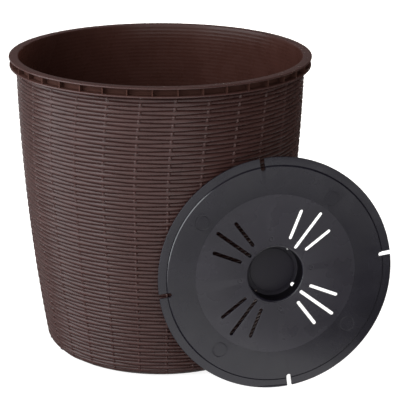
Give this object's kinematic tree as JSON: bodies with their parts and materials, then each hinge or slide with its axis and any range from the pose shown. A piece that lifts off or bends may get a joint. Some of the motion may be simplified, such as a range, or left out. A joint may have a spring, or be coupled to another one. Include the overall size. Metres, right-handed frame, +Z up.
{
  "type": "rattan planter",
  "caption": "Round tapered floor planter with a woven rattan-look wall and a webbed double rim, with a loose slotted drainage insert whose central cup holds it above the pot's floor.",
  "frame": {"origin": "centre of the pot's flat underside, on the floor", "axes": "+Z up along the pot's axis, -Y to the front where the insert leans, +X to the right seen from the front"},
  "size_m": [0.4335, 0.3524, 0.35],
  "materials": {
    "pot_plastic": "satin moulded dark brown plastic with a woven relief",
    "insert_plastic": "satin moulded black plastic"
  },
  "bodies": {
    "pot": {"pot": "pot_plastic"},
    "insert": {"drainage_insert": "insert_plastic"}
  },
  "joints": [
    {"name": "insert_away", "type": "slide", "parent": "pot", "child": "insert", "axis": [0.1903, -0.9792, 0.0698], "range_m": [0, 0.3]}
  ]
}
